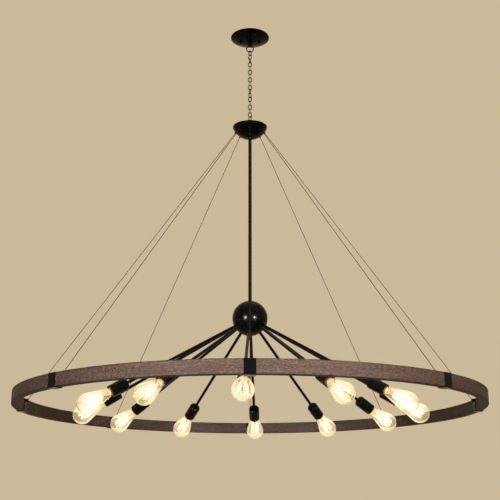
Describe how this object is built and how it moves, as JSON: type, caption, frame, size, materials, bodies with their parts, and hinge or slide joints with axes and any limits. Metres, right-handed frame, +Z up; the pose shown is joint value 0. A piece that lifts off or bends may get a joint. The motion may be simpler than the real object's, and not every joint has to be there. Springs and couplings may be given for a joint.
{
  "type": "wagon wheel chandelier",
  "caption": "Wagon wheel chandelier: wooden rim hung on wires from a hub bowl, with a central rod and ball whose sloping arms hold filament bulbs; chain and round ceiling canopy.",
  "frame": {"origin": "middle of the crossbar's ceiling face, on the chandelier's axis", "axes": "+Z up into the ceiling, +X to the right along the crossbar, -Y to the front"},
  "size_m": [1.5282, 1.5282, 1.4229],
  "materials": {
    "black_steel": "satin black powder coat",
    "bronze_steel": "dark oiled bronze",
    "rim_wood": "brown stained, fine long grain",
    "bulb_glass": "clear with a warm tint",
    "bulb_brass": "spun, satin",
    "holder_plastic": "moulded, dull",
    "contact_brass": "bright",
    "screw_steel": "black oxide",
    "ferrule_steel": "turned",
    "zinc_steel": "zinc plated"
  },
  "bodies": {
    "ceiling": {"ceiling_crossbar": "zinc_steel", "canopy_studs": "zinc_steel", "canopy_nipple": "zinc_steel", "nipple_locknut": "zinc_steel", "canopy": "black_steel", "cap_nuts": "black_steel", "canopy_loop": "bronze_steel"},
    "top_link": {"chain_link_top": "bronze_steel"},
    "upper_chain": {"chain_upper_links": "bronze_steel"},
    "lower_chain": {"chain_lower_links": "bronze_steel"},
    "bottom_link": {"chain_link_bottom": "bronze_steel"},
    "fixture": {"arms": "black_steel", "ball_lower_half": "black_steel", "ball_upper_half": "black_steel", "bracket_screws": "screw_steel", "centre_rod": "black_steel", "cluster_body": "zinc_steel", "hub_bowl": "black_steel", "hub_lid": "black_steel", "hub_loop": "bronze_steel", "lampholders": "holder_plastic", "lock_nuts": "zinc_steel", "rim_brackets": "black_steel", "rim_segment_1": "rim_wood", "rim_segment_2": "rim_wood", "rim_segment_3": "rim_wood", "rim_segment_4": "rim_wood", "rim_segment_5": "rim_wood", "rim_segment_6": "rim_wood", "rim_segment_7": "rim_wood", "rim_segment_8": "rim_wood", "socket_contacts": "contact_brass", "socket_cups": "black_steel", "suspension_wires": "bronze_steel", "wire_anchors": "black_steel", "wire_ferrules": "ferrule_steel"},
    "bulb_01": {"bulb_base_01": "bulb_brass", "bulb_glass_01": "bulb_glass"},
    "bulb_02": {"bulb_base_02": "bulb_brass", "bulb_glass_02": "bulb_glass"},
    "bulb_03": {"bulb_base_03": "bulb_brass", "bulb_glass_03": "bulb_glass"},
    "bulb_04": {"bulb_base_04": "bulb_brass", "bulb_glass_04": "bulb_glass"},
    "bulb_05": {"bulb_base_05": "bulb_brass", "bulb_glass_05": "bulb_glass"},
    "bulb_06": {"bulb_base_06": "bulb_brass", "bulb_glass_06": "bulb_glass"},
    "bulb_07": {"bulb_base_07": "bulb_brass", "bulb_glass_07": "bulb_glass"},
    "bulb_08": {"bulb_base_08": "bulb_brass", "bulb_glass_08": "bulb_glass"},
    "bulb_09": {"bulb_base_09": "bulb_brass", "bulb_glass_09": "bulb_glass"},
    "bulb_10": {"bulb_base_10": "bulb_brass", "bulb_glass_10": "bulb_glass"},
    "bulb_11": {"bulb_base_11": "bulb_brass", "bulb_glass_11": "bulb_glass"},
    "bulb_12": {"bulb_base_12": "bulb_brass", "bulb_glass_12": "bulb_glass"}
  },
  "joints": [
    {"name": "canopy_loop_sway", "type": "hinge", "parent": "ceiling", "child": "top_link", "pos_m": [0, 0, -0.0591], "axis": [1, 0, 0], "range_deg": [-15, 15]},
    {"name": "top_link_sway", "type": "hinge", "parent": "top_link", "child": "upper_chain", "pos_m": [0, 0, -0.0738], "axis": [0.7071, 0.7071, 0], "range_deg": [-20, 20]},
    {"name": "chain_twist", "type": "hinge", "parent": "upper_chain", "child": "lower_chain", "pos_m": [0, 0, -0.1994], "axis": [0, 0, 1], "range_deg": [-25, 25], "stiffness_Nm_per_rad": 0.2},
    {"name": "bottom_link_tilt", "type": "hinge", "parent": "lower_chain", "child": "bottom_link", "pos_m": [0, 0, -0.325], "axis": [0.7071, 0.7071, 0], "range_deg": [-12, 12]},
    {"name": "hub_loop_tilt", "type": "hinge", "parent": "bottom_link", "child": "fixture", "pos_m": [0, 0, -0.3364], "axis": [1, 0, 0], "range_deg": [-12, 12]},
    {"name": "bulb_01_out", "type": "slide", "parent": "fixture", "child": "bulb_01", "axis": [-0.0302, -0.8655, -0.5], "range_m": [0, 0.03]},
    {"name": "bulb_02_out", "type": "slide", "parent": "fixture", "child": "bulb_02", "axis": [0.4066, -0.7647, -0.5], "range_m": [0, 0.03]},
    {"name": "bulb_03_out", "type": "slide", "parent": "fixture", "child": "bulb_03", "axis": [0.7344, -0.4589, -0.5], "range_m": [0, 0.03]},
    {"name": "bulb_04_out", "type": "slide", "parent": "fixture", "child": "bulb_04", "axis": [0.8655, -0.0302, -0.5], "range_m": [0, 0.03]},
    {"name": "bulb_05_out", "type": "slide", "parent": "fixture", "child": "bulb_05", "axis": [0.7647, 0.4066, -0.5], "range_m": [0, 0.03]},
    {"name": "bulb_06_out", "type": "slide", "parent": "fixture", "child": "bulb_06", "axis": [0.4589, 0.7344, -0.5], "range_m": [0, 0.03]},
    {"name": "bulb_07_out", "type": "slide", "parent": "fixture", "child": "bulb_07", "axis": [0.0302, 0.8655, -0.5], "range_m": [0, 0.03]},
    {"name": "bulb_08_out", "type": "slide", "parent": "fixture", "child": "bulb_08", "axis": [-0.4066, 0.7647, -0.5], "range_m": [0, 0.03]},
    {"name": "bulb_09_out", "type": "slide", "parent": "fixture", "child": "bulb_09", "axis": [-0.7344, 0.4589, -0.5], "range_m": [0, 0.03]},
    {"name": "bulb_10_out", "type": "slide", "parent": "fixture", "child": "bulb_10", "axis": [-0.8655, 0.0302, -0.5], "range_m": [0, 0.03]},
    {"name": "bulb_11_out", "type": "slide", "parent": "fixture", "child": "bulb_11", "axis": [-0.7647, -0.4066, -0.5], "range_m": [0, 0.03]},
    {"name": "bulb_12_out", "type": "slide", "parent": "fixture", "child": "bulb_12", "axis": [-0.4589, -0.7344, -0.5], "range_m": [0, 0.03]}
  ]
}
